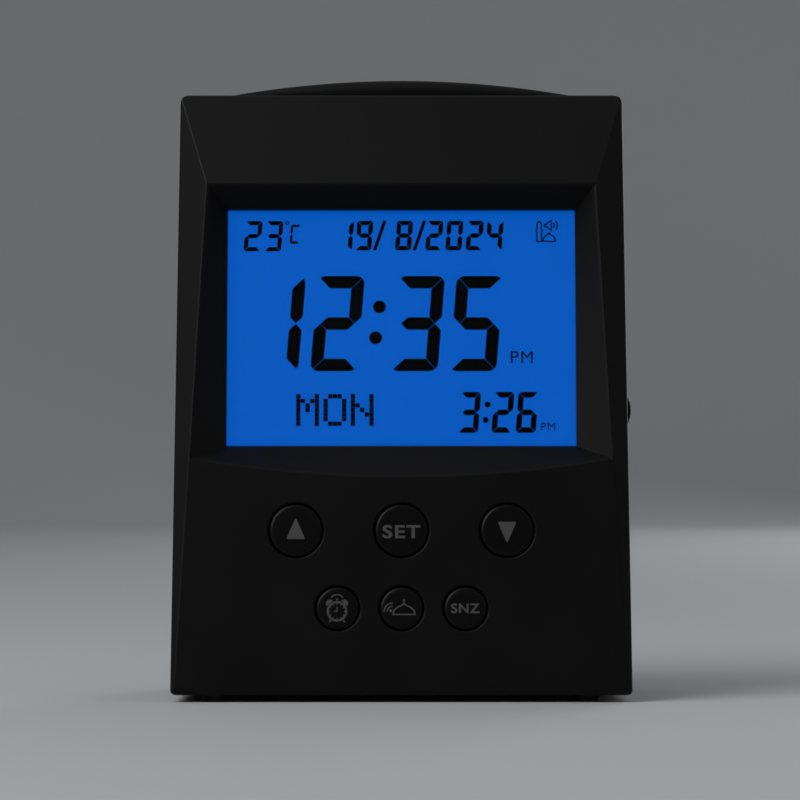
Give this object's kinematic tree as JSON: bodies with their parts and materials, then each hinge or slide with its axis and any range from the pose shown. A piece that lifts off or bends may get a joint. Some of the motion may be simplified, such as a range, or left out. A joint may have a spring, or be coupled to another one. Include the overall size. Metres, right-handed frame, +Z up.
{
  "type": "desk alarm clock",
  "caption": "Leaning desk clock with a lit display in a funnel recess, round buttons on its face, a press bar along the top, a thumb wheel and a battery door.",
  "frame": {"origin": "on the table, under the middle of the case", "axes": "+Z up, -Y towards the user and out of the face, +X to the user's right"},
  "size_m": [0.1333, 0.0636, 0.1809],
  "materials": {
    "case_plastic": "fine satin grain, near black",
    "button_plastic": "satin",
    "wheel_plastic": "matt black, ribbed",
    "white_plastic": "matt white",
    "foot_rubber": "matt",
    "key_rubber": "matt, silicone",
    "foam": "open foam",
    "clear_plastic": "clear, polished",
    "display_blue": "blue display, lit from behind",
    "board_green": "green lacquer",
    "resin_black": "black resin",
    "steel": "plated",
    "magnet_steel": "zinc plated",
    "cone_paper": "pressed paper",
    "cell_sleeve": "plain printed sleeve",
    "lead_red": "plastic sleeve",
    "lead_grey": "plastic sleeve"
  },
  "bodies": {
    "case": {"front_case": "case_plastic", "rear_case": "case_plastic", "display_window": "clear_plastic", "lcd_panel": "display_blue", "light_guide": "clear_plastic", "reflector_sheet": "white_plastic", "contact_strip": "key_rubber", "backlight_lamps": "white_plastic", "display_holder": "white_plastic", "main_board": "board_green", "key_board": "board_green", "clock_chip": "resin_black", "sound_chip": "resin_black", "crystal": "steel", "board_capacitor": "cell_sleeve", "temperature_sensor": "resin_black", "board_screw_1": "steel", "board_screw_2": "steel", "board_screw_3": "steel", "board_screw_4": "steel", "case_screw_1": "steel", "case_screw_2": "steel", "case_screw_3": "steel", "case_screw_4": "steel", "key_ribbon": "lead_grey", "keypad_membrane": "key_rubber", "light_board": "board_green", "light_dome": "key_rubber", "bar_spring_left": "steel", "bar_spring_right": "steel", "volume_pot": "resin_black", "wheel_screw": "steel", "foot_front_left": "foot_rubber", "foot_front_right": "foot_rubber", "foot_rear_left": "foot_rubber", "foot_rear_right": "foot_rubber", "speaker_gasket": "foam", "speaker_frame": "steel", "speaker_magnet": "magnet_steel", "speaker_cone": "cone_paper", "battery_cell_1": "cell_sleeve", "battery_cell_2": "cell_sleeve", "battery_cell_3": "cell_sleeve", "contact_positive": "steel", "contact_left_pair": "steel", "contact_right_pair": "steel", "contact_negative": "steel", "speaker_lead": "lead_red", "battery_lead": "lead_grey"},
    "up_button": {"button_up": "button_plastic"},
    "set_button": {"button_set": "button_plastic"},
    "down_button": {"button_down": "button_plastic"},
    "alarm_button": {"button_alarm": "button_plastic"},
    "call_button": {"button_call": "button_plastic"},
    "snooze_button": {"button_snooze": "button_plastic"},
    "light_bar": {"light_bar": "case_plastic"},
    "volume_wheel": {"volume_wheel": "wheel_plastic"},
    "battery_door": {"battery_door": "case_plastic"}
  },
  "joints": [
    {"name": "press_up", "type": "slide", "parent": "case", "child": "up_button", "axis": [0, 0.9848, -0.1736], "range_m": [0, 0.001], "stiffness_N_per_m": 600, "springref_m": -0.001, "deforming": ["keypad_membrane"]},
    {"name": "press_set", "type": "slide", "parent": "case", "child": "set_button", "axis": [0, 0.9848, -0.1736], "range_m": [0, 0.001], "stiffness_N_per_m": 600, "springref_m": -0.001, "deforming": ["keypad_membrane"]},
    {"name": "press_down", "type": "slide", "parent": "case", "child": "down_button", "axis": [0, 0.9848, -0.1736], "range_m": [0, 0.001], "stiffness_N_per_m": 600, "springref_m": -0.001, "deforming": ["keypad_membrane"]},
    {"name": "press_alarm", "type": "slide", "parent": "case", "child": "alarm_button", "axis": [0, 0.9848, -0.1736], "range_m": [0, 0.001], "stiffness_N_per_m": 600, "springref_m": -0.001, "deforming": ["keypad_membrane"]},
    {"name": "press_call", "type": "slide", "parent": "case", "child": "call_button", "axis": [0, 0.9848, -0.1736], "range_m": [0, 0.001], "stiffness_N_per_m": 600, "springref_m": -0.001, "deforming": ["keypad_membrane"]},
    {"name": "press_snooze", "type": "slide", "parent": "case", "child": "snooze_button", "axis": [0, 0.9848, -0.1736], "range_m": [0, 0.001], "stiffness_N_per_m": 600, "springref_m": -0.001, "deforming": ["keypad_membrane"]},
    {"name": "press_light_bar", "type": "slide", "parent": "case", "child": "light_bar", "axis": [0, 0, -1], "range_m": [0, 0.0012], "stiffness_N_per_m": 600, "springref_m": -0.001, "deforming": ["light_dome", "bar_spring_left", "bar_spring_right"]},
    {"name": "turn_volume", "type": "hinge", "parent": "case", "child": "volume_wheel", "pos_m": [0.05832, 0.00332, 0.0831], "axis": [0, 0.9848, -0.1736], "range_deg": [-135, 135]},
    {"name": "open_battery_door", "type": "hinge", "parent": "case", "child": "battery_door", "pos_m": [0, 0.03182, 0.011], "axis": [-1, 0, 0], "range_deg": [0, 85]}
  ]
}
